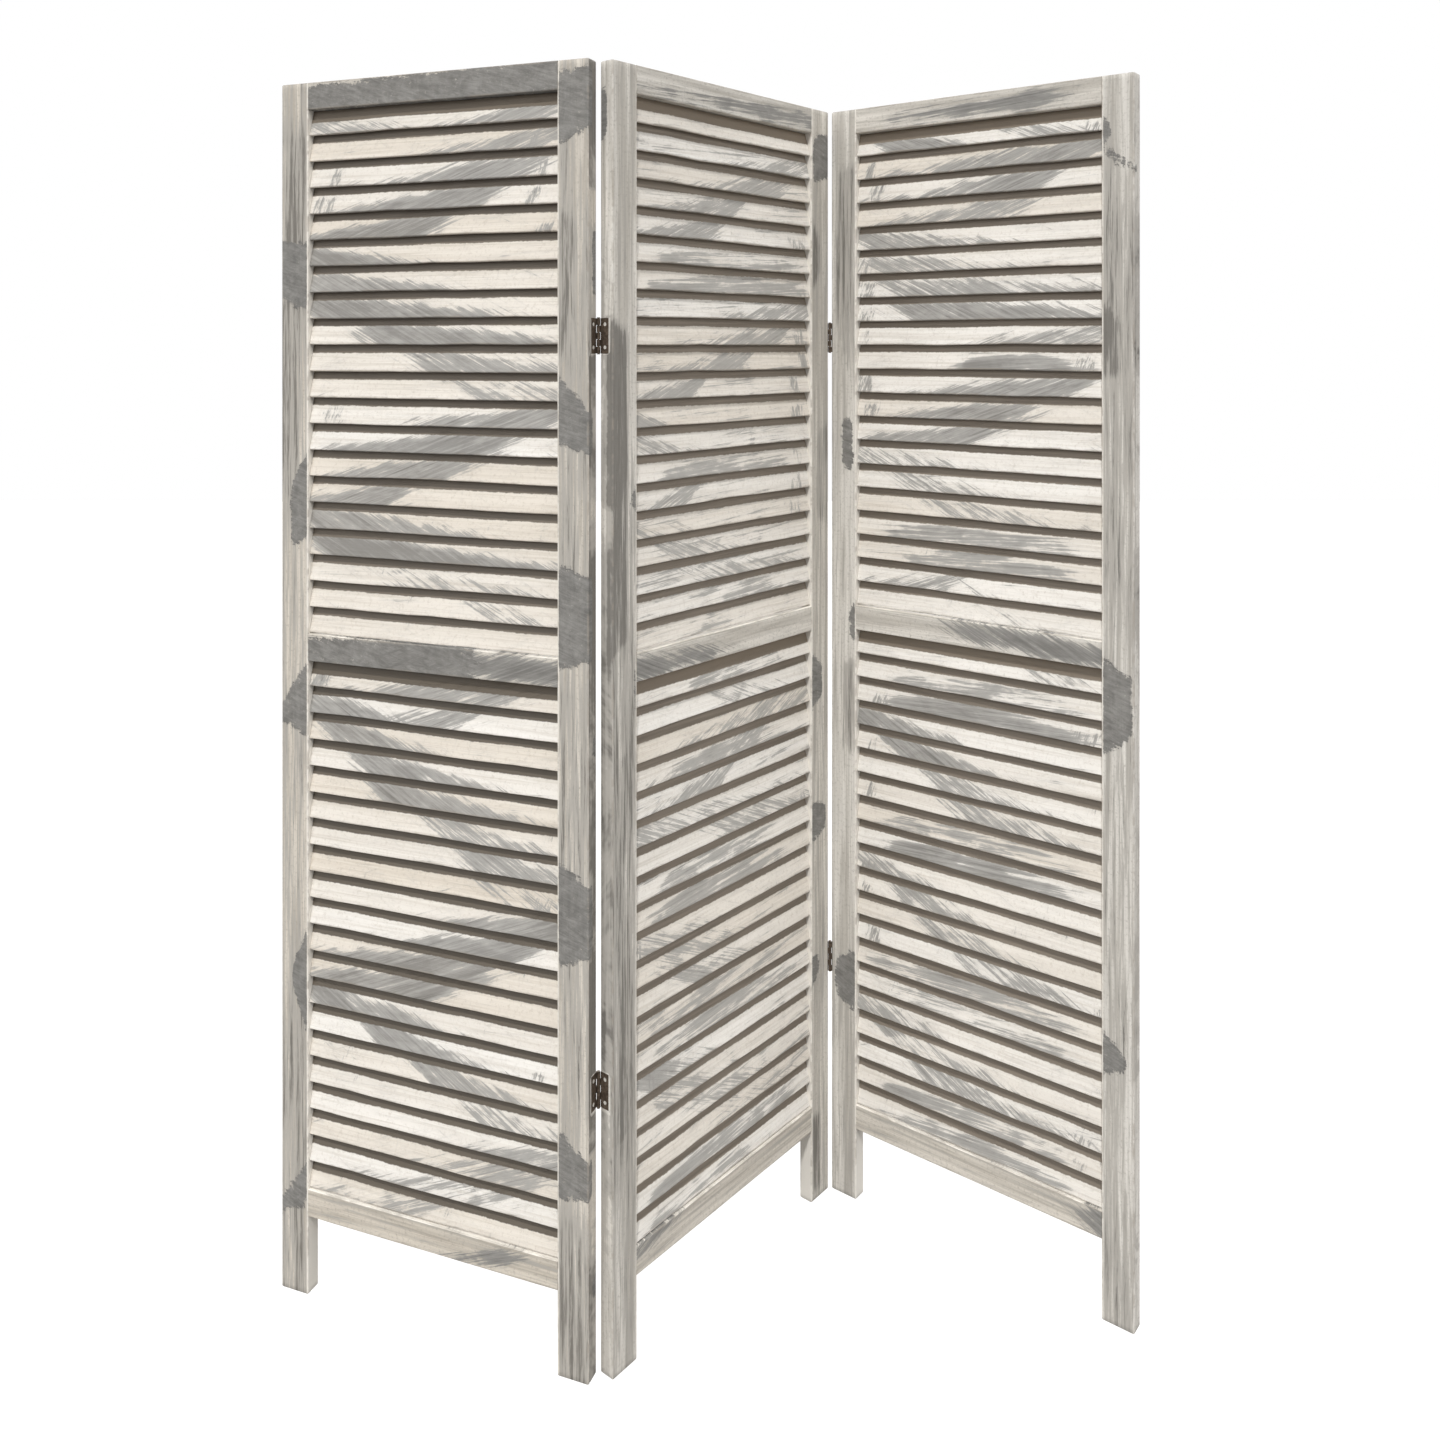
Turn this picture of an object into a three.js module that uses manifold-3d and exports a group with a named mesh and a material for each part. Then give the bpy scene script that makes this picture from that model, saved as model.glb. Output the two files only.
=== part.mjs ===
// A three-panel folding room divider: louvred timber panels joined by two pairs of butt hinges.
// Millimetres, +Z up. The row stands on its feet at Z = 0, centred in X and Y, and faces -Y.
//
// Each panel is drawn in its own frame first: X along the panel from its left edge, Y from its front
// face to its back face, Z up from the floor. The panels are then placed around the hinge pins.

import * as THREE from 'three';
import { mergeVertices } from 'three/addons/utils/BufferGeometryUtils.js';
import Module from 'manifold-3d';

// Panel
const PANEL_HEIGHT = 1700;
const PANEL_WIDTH = 483;
const THICKNESS = 22;
const STILE_WIDTH = 45;
const RAIL_HEIGHT = 38;
const UPPER_OPENING = 735;
const LOWER_OPENING = 741;
const EASED_EDGE = 1.2;
const JOINT_GAP = 0.3;

// Mortise and tenon
const TENON_LENGTH = 25;
const TENON_THICKNESS = 8;
const TENON_SHOULDER = 6;

// Louvres
const SLATS_PER_OPENING = 20;
const SLAT_WIDTH = 48;
const SLAT_THICKNESS = 5;
const SLAT_TILT = THREE.MathUtils.degToRad(15);
const SLAT_INSET = 3;
const SLAT_EASED_EDGE = 1;
const STRIP_WIDTH = 10;
const STRIP_DEPTH = 4;
const STRIP_STAND_OFF = 0.8;

// Butt hinges
const HINGE_HEIGHT = 46;
const UPPER_HINGE_Z = 1344;
const LOWER_HINGE_Z = 367;
const SEAM_GAP = 5;
const PIN_STAND_OFF = 1.5;
const LEAF_WIDTH = 14;
const LEAF_THICKNESS = 1.2;
const RECESS_DEPTH = LEAF_THICKNESS + JOINT_GAP;
const KNUCKLES = 5;
const KNUCKLE_GAP = 0.4;
const KNUCKLE_RADIUS = 2.5;
const NECK_REACH = 0.8;
const NECK_BELOW_PIN = 1.2;
const TONGUE_OVERLAP = 1;
const BORE_RADIUS = 1.5;
const PIN_RADIUS = 1.25;
const PIN_HEAD_RADIUS = 2.1;
const PIN_HEAD_HEIGHT = 1;
const ROUND_SIDES = 12;

// Countersunk screws
const SCREW_SPACING = 30;
const SCREW_HEAD_RADIUS = 2.6;
const SCREW_SHANK_RADIUS = 1.4;
const SCREW_LENGTH = 15;
const SCREW_TIP = 3;
const SCREW_TIP_RADIUS = 0.3;
const SHANK_OVERLAP = 0.5;
const SCREW_ACROSS_LEAF = 0.55;
const SCREW_SIDES = 8;

// How far a cutting tool passes the solid that it cuts, and how close two points are one point
const CUT_MARGIN = 1;
const FINE_CUT_MARGIN = 0.1;
const WELD_DISTANCE = 1e-4;

// How the screen stands: the turn of each panel about Z
const LEFT_TURN = THREE.MathUtils.degToRad(-20.75);
const MIDDLE_TURN = THREE.MathUtils.degToRad(50.27);
const RIGHT_TURN = THREE.MathUtils.degToRad(-37.98);

// Worked-out sizes
const OPENING_WIDTH = PANEL_WIDTH - 2 * STILE_WIDTH;
const TOP_RAIL_Z = PANEL_HEIGHT - RAIL_HEIGHT;
const MID_RAIL_Z = TOP_RAIL_Z - UPPER_OPENING - RAIL_HEIGHT;
const BOTTOM_RAIL_Z = MID_RAIL_Z - LOWER_OPENING - RAIL_HEIGHT;
const RAIL_LEVELS = { top_rail: TOP_RAIL_Z, mid_rail: MID_RAIL_Z, bottom_rail: BOTTOM_RAIL_Z };
const OPENINGS = {
  upper_louvres: { bottom: MID_RAIL_Z + RAIL_HEIGHT, height: UPPER_OPENING },
  lower_louvres: { bottom: BOTTOM_RAIL_Z + RAIL_HEIGHT, height: LOWER_OPENING },
};
const HINGE_LEVELS = { upper: UPPER_HINGE_Z, lower: LOWER_HINGE_Z };
const SCREW_LEVELS = { upper: SCREW_SPACING / 2, lower: -SCREW_SPACING / 2 };
const LEAF_FACE = SEAM_GAP / 2;
const SCREW_V = PIN_STAND_OFF + LEAF_WIDTH * SCREW_ACROSS_LEAF;

const wasm = await Module();
wasm.setup();

const frameWood = new THREE.MeshStandardMaterial({ color: 0xcbc4bb, roughness: 0.72, metalness: 0 });
const slatWood = new THREE.MeshStandardMaterial({ color: 0xe5dfd6, roughness: 0.68, metalness: 0 });
const bronze = new THREE.MeshStandardMaterial({ color: 0x50483e, roughness: 0.45, metalness: 0.85 });
const screwSteel = new THREE.MeshStandardMaterial({ color: 0x8d8375, roughness: 0.4, metalness: 0.9 });

// ---- Solids: joining and cutting closed geometries ----

function solidOf(geometry) {
  const bare = new THREE.BufferGeometry();
  bare.setAttribute('position', geometry.getAttribute('position').clone());
  bare.setIndex(geometry.getIndex());
  const merged = mergeVertices(bare, WELD_DISTANCE);
  const vertProperties = new Float32Array(merged.getAttribute('position').array);
  const triVerts = new Uint32Array(merged.getIndex().array);
  return new wasm.Manifold(new wasm.Mesh({ numProp: 3, vertProperties, triVerts }));
}

function geometryOf(solid) {
  const mesh = solid.getMesh();
  const geometry = new THREE.BufferGeometry();
  geometry.setAttribute('position', new THREE.BufferAttribute(mesh.vertProperties, 3));
  geometry.setIndex(new THREE.BufferAttribute(mesh.triVerts, 1));
  geometry.computeVertexNormals();
  return geometry;
}

function joined(solids) {
  return solids.reduce((sum, solid) => sum.add(solid));
}

function cut(solid, tools) {
  return tools.reduce((rest, tool) => rest.subtract(tool), solid);
}

function box(low, high) {
  const size = high.map((value, axis) => value - low[axis]);
  const centre = high.map((value, axis) => (value + low[axis]) / 2);
  const geometry = new THREE.BoxGeometry(...size);
  geometry.translate(...centre);
  return solidOf(geometry);
}

// A round bar along Z between two heights, with a radius at each end.
function taper(bottomRadius, topRadius, bottom, top, sides = ROUND_SIDES) {
  const geometry = new THREE.CylinderGeometry(topRadius, bottomRadius, top - bottom, sides);
  geometry.rotateX(Math.PI / 2);
  geometry.translate(0, 0, (bottom + top) / 2);
  return geometry;
}

function bar(radius, bottom, top) {
  return taper(radius, radius, bottom, top);
}

// An outline in the X-Y plane, raised along Z.
function prism(points, length) {
  const shape = new THREE.Shape(points.map(([x, y]) => new THREE.Vector2(x, y)));
  return new THREE.ExtrudeGeometry(shape, { depth: length, bevelEnabled: false });
}

// The same, laid down so that its outline is in Y-Z and its length runs along X.
function prismAlongX(points, length) {
  const geometry = prism(points, length);
  geometry.rotateX(Math.PI / 2);
  geometry.rotateZ(Math.PI / 2);
  return geometry;
}

function easedRectangle(width, height, ease) {
  return [
    [ease, 0],
    [width - ease, 0],
    [width, ease],
    [width, height - ease],
    [width - ease, height],
    [ease, height],
    [0, height - ease],
    [0, ease],
  ];
}

// ---- Timber frame ----

// Low and high corners of a rail's tenon or of its mortise, which is larger by the gap.
function tenonBox(x0, x1, railZ, gap) {
  const y0 = (THICKNESS - TENON_THICKNESS) / 2 - gap;
  const z0 = railZ + TENON_SHOULDER - gap;
  const z1 = railZ + RAIL_HEIGHT - TENON_SHOULDER + gap;
  return box([x0, y0, z0], [x1, THICKNESS - y0, z1]);
}

function rail(railZ) {
  const left = STILE_WIDTH + JOINT_GAP;
  const right = PANEL_WIDTH - STILE_WIDTH - JOINT_GAP;
  const beam = prismAlongX(easedRectangle(THICKNESS, RAIL_HEIGHT, EASED_EDGE), right - left);
  beam.translate(left, 0, railZ);
  const tenon = tenonBox(left - TENON_LENGTH, right + TENON_LENGTH, railZ, 0);
  return geometryOf(solidOf(beam).add(tenon));
}

// Mortises and grooves are cut in from the inner face, which looks towards +X on a left stile.
function joineryCuts(innerX, outward) {
  const deep = (depth) => innerX - outward * depth;
  const span = (depth) => [Math.min(deep(depth), deep(-1)), Math.max(deep(depth), deep(-1))];
  const [m0, m1] = span(TENON_LENGTH + JOINT_GAP);
  const [g0, g1] = span(STRIP_DEPTH + JOINT_GAP);
  const y0 = (THICKNESS - STRIP_WIDTH) / 2 - JOINT_GAP;
  const mortises = Object.values(RAIL_LEVELS).map((z) => tenonBox(m0, m1, z, JOINT_GAP));
  const grooves = Object.values(OPENINGS).map(({ bottom, height }) =>
    box([g0, y0, bottom], [g1, THICKNESS - y0, bottom + height]));
  return [...mortises, ...grooves];
}

function stile(side, hingeCuts) {
  const left = side === 'left_stile' ? 0 : PANEL_WIDTH - STILE_WIDTH;
  const post = prism(easedRectangle(STILE_WIDTH, THICKNESS, EASED_EDGE), PANEL_HEIGHT);
  post.translate(left, 0, 0);
  const joinery = side === 'left_stile'
    ? joineryCuts(STILE_WIDTH, 1)
    : joineryCuts(PANEL_WIDTH - STILE_WIDTH, -1);
  return geometryOf(cut(solidOf(post), [...joinery, ...hingeCuts]));
}

// ---- Louvres ----

// A slat's section in Y-Z. Its lower edge is forward and it leans back; the corner at the lower front
// and the one at the upper back are eased.
function slatSection(width) {
  const up = [Math.sin(SLAT_TILT), Math.cos(SLAT_TILT)];
  const back = [Math.cos(SLAT_TILT), -Math.sin(SLAT_TILT)];
  const lift = SLAT_THICKNESS * Math.sin(SLAT_TILT);
  const at = (along, across) => [
    SLAT_INSET + up[0] * along + back[0] * across,
    lift + up[1] * along + back[1] * across,
  ];
  const ease = SLAT_EASED_EDGE;
  return [
    at(0, ease),
    at(0, SLAT_THICKNESS),
    at(width - ease, SLAT_THICKNESS),
    at(width, SLAT_THICKNESS - ease),
    at(width, 0),
    at(ease, 0),
  ];
}

// The first slat under a rail is narrower, because the rail leaves its upper edge no room.
function slat(opening, index) {
  const pitch = opening.height / SLATS_PER_OPENING;
  const room = (pitch - 2 * JOINT_GAP) / Math.cos(SLAT_TILT) - SLAT_THICKNESS * Math.tan(SLAT_TILT);
  const width = index === 0 ? room : SLAT_WIDTH;
  const geometry = prismAlongX(slatSection(width), OPENING_WIDTH - 2 * JOINT_GAP);
  const z = opening.bottom + opening.height - (index + 1) * pitch + JOINT_GAP;
  geometry.translate(STILE_WIDTH + JOINT_GAP, 0, z);
  return solidOf(geometry);
}

function endStrip(opening, x0, x1) {
  const y0 = (THICKNESS - STRIP_WIDTH) / 2;
  const z0 = opening.bottom + JOINT_GAP;
  const z1 = opening.bottom + opening.height - JOINT_GAP;
  return box([x0, y0, z0], [x1, THICKNESS - y0, z1]);
}

// A bank of slats, held at both ends by strips that sit in the stiles' grooves.
function louvres(opening) {
  const left = STILE_WIDTH;
  const right = PANEL_WIDTH - STILE_WIDTH;
  const slats = Array.from({ length: SLATS_PER_OPENING }, (_, index) => slat(opening, index));
  const strips = [
    endStrip(opening, left - STRIP_DEPTH, left + STRIP_STAND_OFF),
    endStrip(opening, right - STRIP_STAND_OFF, right + STRIP_DEPTH),
  ];
  return geometryOf(joined([...strips, ...slats]));
}

// ---- Hinges ----
// A hinge is drawn around its pin: u runs from the pin towards the leaf's own panel, v from the pin
// into the panel's thickness, Z up from the middle of the hinge. The panel's edge is at u = LEAF_FACE
// and its nearer face is at v = PIN_STAND_OFF.

// The knuckle's height range, counted from the bottom. Even ones belong to the outer leaf.
function knuckleRange(index) {
  const pitch = HINGE_HEIGHT / KNUCKLES;
  const bottom = -HINGE_HEIGHT / 2 + index * pitch;
  return [bottom + KNUCKLE_GAP / 2, bottom + pitch - KNUCKLE_GAP / 2];
}

// The barrel of one knuckle, with the neck that joins it to the plate.
function knuckle(index) {
  const [bottom, top] = knuckleRange(index);
  const barrel = solidOf(bar(KNUCKLE_RADIUS, bottom, top));
  const neckEnd = LEAF_FACE + LEAF_THICKNESS;
  const neckLow = [LEAF_FACE - NECK_REACH, -NECK_BELOW_PIN, bottom];
  const neck = box(neckLow, [neckEnd, PIN_STAND_OFF - JOINT_GAP, top]);
  const tongue = box([LEAF_FACE, 0, bottom], [neckEnd, PIN_STAND_OFF + TONGUE_OVERLAP, top]);
  return joined([barrel, neck, tongue]);
}

// Turns a Z-axis tool so that it points from the leaf's face into the stile.
function drilled(geometry, z) {
  geometry.rotateY(Math.PI / 2);
  geometry.translate(0, SCREW_V, z);
  return solidOf(geometry);
}

function countersink(z) {
  const wide = SCREW_HEAD_RADIUS + 2 * JOINT_GAP;
  const narrow = SCREW_SHANK_RADIUS + JOINT_GAP;
  const start = LEAF_FACE - FINE_CUT_MARGIN;
  const end = LEAF_FACE + LEAF_THICKNESS + FINE_CUT_MARGIN;
  return drilled(taper(wide, narrow, start, end, SCREW_SIDES), z);
}

function leaf(knuckles) {
  const half = HINGE_HEIGHT / 2;
  const plateEnd = PIN_STAND_OFF + LEAF_WIDTH;
  const plate = box([LEAF_FACE, PIN_STAND_OFF, -half], [LEAF_FACE + LEAF_THICKNESS, plateEnd, half]);
  const bore = solidOf(bar(BORE_RADIUS, -half - CUT_MARGIN, half + CUT_MARGIN));
  const holes = Object.values(SCREW_LEVELS).map(countersink);
  return geometryOf(cut(joined([plate, ...knuckles.map(knuckle)]), [bore, ...holes]));
}

function pin() {
  const half = HINGE_HEIGHT / 2;
  const shaft = solidOf(bar(PIN_RADIUS, -half - PIN_HEAD_HEIGHT / 2, half + PIN_HEAD_HEIGHT / 2));
  const top = solidOf(bar(PIN_HEAD_RADIUS, half, half + PIN_HEAD_HEIGHT));
  const bottom = solidOf(bar(PIN_HEAD_RADIUS, -half - PIN_HEAD_HEIGHT, -half));
  return geometryOf(joined([shaft, top, bottom]));
}

function screw(z) {
  const neck = LEAF_FACE + LEAF_THICKNESS;
  const head = taper(SCREW_HEAD_RADIUS, SCREW_SHANK_RADIUS, LEAF_FACE, neck, SCREW_SIDES);
  const shankEnd = LEAF_FACE + SCREW_LENGTH - SCREW_TIP;
  const shankStart = neck - SHANK_OVERLAP;
  const shank = taper(SCREW_SHANK_RADIUS, SCREW_SHANK_RADIUS, shankStart, shankEnd, SCREW_SIDES);
  const tipEnd = shankEnd + SCREW_TIP;
  const tip = taper(SCREW_SHANK_RADIUS, SCREW_TIP_RADIUS, shankEnd, tipEnd, SCREW_SIDES);
  return geometryOf(joined([drilled(head, z), drilled(shank, z), drilled(tip, z)]));
}

// The recess that lets the leaf lie flush in the panel's edge, and the screws' pilot holes.
function hingeCuts() {
  const half = HINGE_HEIGHT / 2 + JOINT_GAP;
  const end = PIN_STAND_OFF + LEAF_WIDTH + JOINT_GAP;
  const open = [LEAF_FACE - CUT_MARGIN, -CUT_MARGIN, -half];
  const recess = box(open, [LEAF_FACE + RECESS_DEPTH, end, half]);
  const radius = SCREW_SHANK_RADIUS + JOINT_GAP;
  const depth = LEAF_FACE + SCREW_LENGTH + CUT_MARGIN;
  const pilots = Object.values(SCREW_LEVELS).map((z) =>
    drilled(taper(radius, radius, LEAF_FACE, depth, SCREW_SIDES), z));
  return joined([recess, ...pilots]);
}

// Where a panel carries hinges: which of its edges, and whether the pins stand off its front or back.
// All hinge pieces are the same upside down, so each case is a half turn or two.
function hingeSeat(edge, face) {
  const x = edge === 'left' ? -SEAM_GAP / 2 : PANEL_WIDTH + SEAM_GAP / 2;
  const y = face === 'front' ? -PIN_STAND_OFF : THICKNESS + PIN_STAND_OFF;
  const aboutU = (edge === 'left') === (face === 'front') ? 0 : Math.PI;
  const aboutZ = edge === 'left' ? 0 : Math.PI;
  const turn = new THREE.Matrix4().makeRotationZ(aboutZ);
  turn.multiply(new THREE.Matrix4().makeRotationX(aboutU));
  return { x, y, turn, edge };
}

function seated(geometry, seat, z) {
  geometry.applyMatrix4(seat.turn);
  geometry.translate(seat.x, seat.y, z);
  return geometry;
}

function recesses(seat) {
  return Object.values(HINGE_LEVELS).map((z) => solidOf(seated(geometryOf(hingeCuts()), seat, z)));
}

// ---- Assembly ----

function add(group, name, geometry, material) {
  const mesh = new THREE.Mesh(geometry, material.clone());
  mesh.name = name;
  group.add(mesh);
}

// The leaves and screws that ride on one panel's edge. The outer leaf has three knuckles.
function addLeaves(group, seam, leafName, seat, knuckles) {
  for (const [level, z] of Object.entries(HINGE_LEVELS)) {
    const name = `${seam}_${level}_hinge_${leafName}`;
    add(group, name, seated(leaf(knuckles), seat, z), bronze);
    for (const [place, offset] of Object.entries(SCREW_LEVELS)) {
      add(group, `${name}_${place}_screw`, seated(screw(offset), seat, z), screwSteel);
    }
  }
}

function addPins(group, seam, seat) {
  for (const [level, z] of Object.entries(HINGE_LEVELS)) {
    add(group, `${seam}_${level}_hinge_pin`, seated(pin(), seat, z), bronze);
  }
}

function panel(name, seats) {
  const group = new THREE.Group();
  for (const edge of ['left', 'right']) {
    const cuts = seats.filter((seat) => seat.edge === edge).flatMap(recesses);
    add(group, `${name}_${edge}_stile`, stile(`${edge}_stile`, cuts), frameWood);
  }
  for (const [railName, z] of Object.entries(RAIL_LEVELS)) {
    add(group, `${name}_${railName}`, rail(z), frameWood);
  }
  for (const [bankName, opening] of Object.entries(OPENINGS)) {
    add(group, `${name}_${bankName}`, louvres(opening), slatWood);
  }
  return group;
}

// Turns a panel about Z and slides it so that the given hinge seat lies on the given point.
function hang(group, seat, turn, point) {
  const arm = new THREE.Vector3(seat.x, seat.y, 0).applyAxisAngle(new THREE.Vector3(0, 0, 1), turn);
  group.rotation.z = turn;
  group.position.set(point.x - arm.x, point.y - arm.y, 0);
}

function seatInRow(group, seat) {
  const point = new THREE.Vector3(seat.x, seat.y, 0);
  point.applyAxisAngle(new THREE.Vector3(0, 0, 1), group.rotation.z);
  return point.add(group.position);
}

function screen() {
  const leftSeat = hingeSeat('right', 'back');
  const middleBackSeat = hingeSeat('left', 'back');
  const middleFrontSeat = hingeSeat('right', 'front');
  const rightSeat = hingeSeat('left', 'front');
  const left = panel('left_panel', [leftSeat]);
  const middle = panel('middle_panel', [middleBackSeat, middleFrontSeat]);
  const right = panel('right_panel', [rightSeat]);

  addLeaves(left, 'left_seam', 'left_leaf', leftSeat, [0, 2, 4]);
  addLeaves(middle, 'left_seam', 'right_leaf', middleBackSeat, [1, 3]);
  addPins(middle, 'left_seam', middleBackSeat);
  addLeaves(middle, 'right_seam', 'left_leaf', middleFrontSeat, [1, 3]);
  addPins(middle, 'right_seam', middleFrontSeat);
  addLeaves(right, 'right_seam', 'right_leaf', rightSeat, [0, 2, 4]);

  middle.rotation.z = MIDDLE_TURN;
  hang(left, leftSeat, LEFT_TURN, seatInRow(middle, middleBackSeat));
  hang(right, rightSeat, RIGHT_TURN, seatInRow(middle, middleFrontSeat));
  const group = new THREE.Group();
  group.add(left, middle, right);
  return group;
}

// Stands the screen over the origin of the row.
function centred(group) {
  group.updateMatrixWorld(true);
  const extent = new THREE.Box3().setFromObject(group, true);
  const centre = extent.getCenter(new THREE.Vector3());
  group.position.set(-centre.x, -centre.y, 0);
  return group;
}

export default centred(screen());
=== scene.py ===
"""A folding room divider of three louvred, whitewashed timber panels with four small butt hinges.

Every panel piece is drawn in its panel's own frame: x along the panel from its left edge, y from the
front face to the back face, z up from the floor. Lengths are in metres.
"""

import math

import bmesh
import bpy
import numpy as np
from mathutils import Matrix, Vector


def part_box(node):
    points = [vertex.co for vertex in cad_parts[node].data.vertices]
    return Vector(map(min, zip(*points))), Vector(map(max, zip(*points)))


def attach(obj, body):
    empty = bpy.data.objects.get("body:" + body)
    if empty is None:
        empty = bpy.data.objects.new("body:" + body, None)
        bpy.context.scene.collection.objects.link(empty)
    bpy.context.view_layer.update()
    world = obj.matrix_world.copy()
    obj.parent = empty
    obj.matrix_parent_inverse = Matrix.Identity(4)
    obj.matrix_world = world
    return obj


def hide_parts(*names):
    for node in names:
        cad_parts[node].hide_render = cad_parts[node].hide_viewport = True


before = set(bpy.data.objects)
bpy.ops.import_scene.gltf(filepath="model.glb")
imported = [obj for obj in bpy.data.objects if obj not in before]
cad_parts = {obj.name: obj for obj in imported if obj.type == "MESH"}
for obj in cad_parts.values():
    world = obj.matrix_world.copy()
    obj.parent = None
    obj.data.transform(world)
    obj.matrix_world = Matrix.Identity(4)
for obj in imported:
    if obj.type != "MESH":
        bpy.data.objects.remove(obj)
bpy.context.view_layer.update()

# Sizes that the CAD model has too
STILE_WIDTH = 0.045
THICKNESS = 0.022
SLATS_PER_OPENING = 20
SLAT_WIDTH = 0.048
SLAT_THICKNESS = 0.005
SLAT_TILT = math.radians(15)
SLAT_INSET = 0.003
HINGE_HEIGHT = 0.046
HINGE_LEVELS = (1.344, 0.367)
LEAF_WIDTH = 0.014
RECESS_DEPTH = 0.0015

# The gap between pieces that touch, and how far a recess's cutter stands out of the stile
GAP = 0.0003
SPARE = 0.002

PANELS = ("left_panel", "middle_panel", "right_panel")
RAILS = ("top_rail", "mid_rail", "bottom_rail")

# For each stile at a seam, the face that its hinges' pins stand in front of
PIN_FACES = {
    ("left_panel", "right"): "back",
    ("middle_panel", "left"): "back",
    ("middle_panel", "right"): "front",
    ("right_panel", "left"): "front",
}

# How finely the painted surfaces are divided, how round their edges are, and how far the first
# division is from a corner and from a stile's end
GRID = 0.006
EDGE_RADIUS = 0.0012
SLAT_EDGE_RADIUS = 0.0009
CORNER_STEPS = 3
SIDE_MARGIN = 0.0018
END_MARGIN = 0.0015

# Edges sharper than this are shaded as edges
SHARP_ANGLE = math.radians(40)

# How uneven the pieces are: a slat's tilt in degrees and its twist in radians, and the rest in metres
TILT_SPREAD = 0.45
TWIST = 0.006
SAG = 0.0006
LIFT_SPREAD = 0.0004
ARRIS_FUZZ = 0.00012
RAIL_WAVE = 0.0001
STILE_WAVE = 0.00008

# The camera, fitted to the panels' corners in the photograph, with its lens in millimetres
CAMERA_PLACE = (0.0247, -1.8139, 1.3306)
SENSOR_WIDTH, FOCAL_LENGTH = 36, 31.56
CAMERA_SHIFT = -0.2596

# How brightly the world lights the object, and how bright it looks to the camera
WORLD_LIGHT, WORLD_SEEN = 0.25, 1.0

# Each sun's azimuth, elevation and spread in degrees, its strength and its colour
SUNS = {
    "key": (-8, 56, 6, 1.98, (1.0, 0.985, 0.96)),
    "left_fill": (-45, 24, 40, 1.04, (1.0, 0.99, 0.98)),
    "right_fill": (60, 25, 40, 0.98, (1.0, 0.99, 0.98)),
    "back_fill": (178, 30, 40, 1.75, (1.0, 0.99, 0.98)),
}

# How far the floor reaches each way, its colour where it throws light back, and its glow to the camera
FLOOR_REACH = 9
FLOOR_COLOUR = (0.30, 0.295, 0.29, 1)
FLOOR_GLOW = 0.92

rng = np.random.default_rng(7)


# ---- The camera, the room and the light ----

def add_camera():
    camera = bpy.data.objects.new("camera", bpy.data.cameras.new("camera"))
    bpy.context.scene.collection.objects.link(camera)
    camera.location = CAMERA_PLACE
    camera.rotation_euler = (math.pi / 2, 0, 0)
    camera.data.sensor_width = SENSOR_WIDTH
    camera.data.lens = FOCAL_LENGTH
    camera.data.shift_y = CAMERA_SHIFT
    bpy.context.scene.camera = camera


def add_sun(name, azimuth, elevation, spread, strength, colour):
    """Even light from one side. The azimuth is counted from straight in front towards the right."""
    light = bpy.data.lights.new(name, "SUN")
    light.angle = math.radians(spread)
    light.energy = strength
    light.color = colour
    lamp = bpy.data.objects.new(name, light)
    bpy.context.scene.collection.objects.link(lamp)
    a, e = math.radians(azimuth), math.radians(elevation)
    to_light = Vector((math.sin(a) * math.cos(e), -math.cos(a) * math.cos(e), math.sin(e)))
    lamp.rotation_euler = (-to_light).to_track_quat("-Z", "Y").to_euler()


def show_other(tree, lighting, seen, output):
    """Lets the camera see one shader and everything else be lit by the other."""
    rays = tree.nodes.new("ShaderNodeLightPath")
    mix = tree.nodes.new("ShaderNodeMixShader")
    tree.links.new(rays.outputs["Is Camera Ray"], mix.inputs["Fac"])
    tree.links.new(lighting.outputs[0], mix.inputs[1])
    tree.links.new(seen.outputs[0], mix.inputs[2])
    tree.links.new(mix.outputs[0], tree.nodes[output].inputs["Surface"])


def add_light():
    world = bpy.data.worlds.new("studio")
    world.use_nodes = True
    bpy.context.scene.world = world
    tree = world.node_tree
    lighting, seen = tree.nodes["Background"], tree.nodes.new("ShaderNodeBackground")
    for background, strength in ((lighting, WORLD_LIGHT), (seen, WORLD_SEEN)):
        background.inputs["Color"].default_value = (1, 1, 1, 1)
        background.inputs["Strength"].default_value = strength
    show_other(tree, lighting, seen, "World Output")
    for name, settings in SUNS.items():
        add_sun(name, *settings)


def add_floor():
    """A white floor that throws back less light than it shows, as in a studio cut-out."""
    mesh = bpy.data.meshes.new("floor")
    corners = [(FLOOR_REACH * x, FLOOR_REACH * y, 0) for x, y in ((-1, -1), (1, -1), (1, 1), (-1, 1))]
    mesh.from_pydata(corners, [], [(0, 1, 2, 3)])
    floor = bpy.data.objects.new("floor", mesh)
    bpy.context.scene.collection.objects.link(floor)
    material = bpy.data.materials.new("pale_floor")
    material.use_nodes = True
    tree = material.node_tree
    bounce = tree.nodes["Principled BSDF"]
    bounce.inputs["Base Color"].default_value = FLOOR_COLOUR
    bounce.inputs["Roughness"].default_value = 0.9
    glow = tree.nodes.new("ShaderNodeEmission")
    glow.inputs["Strength"].default_value = FLOOR_GLOW
    seen = tree.nodes.new("ShaderNodeAddShader")
    tree.links.new(bounce.outputs[0], seen.inputs[0])
    tree.links.new(glow.outputs[0], seen.inputs[1])
    show_other(tree, bounce, seen, "Material Output")
    mesh.materials.append(material)


# ---- Materials ----

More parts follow.
